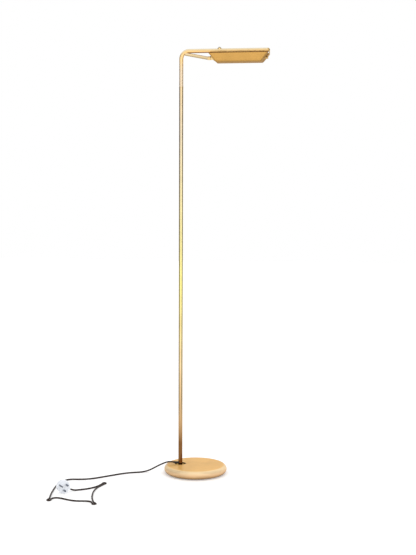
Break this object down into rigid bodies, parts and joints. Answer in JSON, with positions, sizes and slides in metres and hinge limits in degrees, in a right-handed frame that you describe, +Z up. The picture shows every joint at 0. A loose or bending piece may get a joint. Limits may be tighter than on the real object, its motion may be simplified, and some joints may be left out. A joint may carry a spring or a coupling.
{
  "type": "floor lamp",
  "caption": "Slim brass floor lamp: weighted round base, offset stem, swivelling arm with a push switch, and a rocking trough-shaped uplighter shade with a halogen tube.",
  "frame": {"origin": "on the floor, at the centre of the round base's felt pad", "axes": "+Z up the stem, +X from the stem towards the shade"},
  "size_m": [0.779, 0.6316, 1.688],
  "materials": {
    "brass": "polished brass tube and fittings",
    "brass_shade": "satin lacquered brass sheet",
    "brass_base": "polished lacquered brass spinning",
    "dull_metal": "dull nickel plating",
    "iron": "as cast",
    "felt": "black felt",
    "black_rubber": "matt black rubber",
    "steel": "zinc plated steel",
    "ceramic": "off-white glazed ceramic look",
    "quartz": "clear quartz",
    "reflector": "bright anodised aluminium",
    "tungsten": "bare wire",
    "wire": "woven glass sleeve look",
    "flex": "dark brown-black round flex",
    "plug_white": "white moulded plastic",
    "black_plastic": "black plastic"
  },
  "bodies": {
    "stand": {"base_cover": "brass_base", "base_weight": "iron", "floor_pad": "felt", "well_liner": "black_rubber", "foot_flange": "brass", "stem_tube": "brass", "foot_plug": "steel", "foot_washer": "steel", "foot_bolt": "steel", "cord_bush": "black_rubber", "swivel_bush": "brass", "retaining_screw": "steel", "stem_lead": "flex", "cord": "flex", "plug_base": "plug_white", "plug_cover": "plug_white", "plug_pins": "dull_metal", "plug_screw": "dull_metal"},
    "arm": {"arm_tube": "brass", "swivel_spigot": "steel", "end_bracket": "brass", "bracket_screw": "brass", "stay_tube": "brass", "stay_block": "brass", "pivot_pin": "steel", "pivot_screw": "brass", "pivot_nuts": "steel", "tilt_washers": "black_plastic", "switch_bezel": "brass", "switch_body": "black_plastic", "arm_lead": "flex"},
    "button": {"switch_button": "dull_metal"},
    "shade": {"shade_skin": "brass_shade", "shade_end_left": "brass_shade", "shade_end_right": "brass_shade", "left_boss": "brass", "right_boss": "brass", "reflector": "reflector", "holder_bridge": "steel", "bridge_studs": "steel", "bridge_nuts": "steel", "lamp_holder_left": "ceramic", "lamp_holder_right": "ceramic", "lamp_tube": "quartz", "lamp_caps": "ceramic", "filament": "tungsten", "lamp_leads": "wire"}
  },
  "joints": [
    {"name": "mast_swivel", "type": "hinge", "parent": "stand", "child": "arm", "pos_m": [-0.062, 0, 1.536], "axis": [0, 0, 1], "range_deg": [-160, 160]},
    {"name": "shade_tilt", "type": "hinge", "parent": "arm", "child": "shade", "pos_m": [0.1665, 0, 1.6455], "axis": [1, 0, 0], "range_deg": [-30, 30]},
    {"name": "switch_press", "type": "slide", "parent": "arm", "child": "button", "axis": [0, 0, -1], "range_m": [0, 0.002], "stiffness_N_per_m": 800}
  ]
}
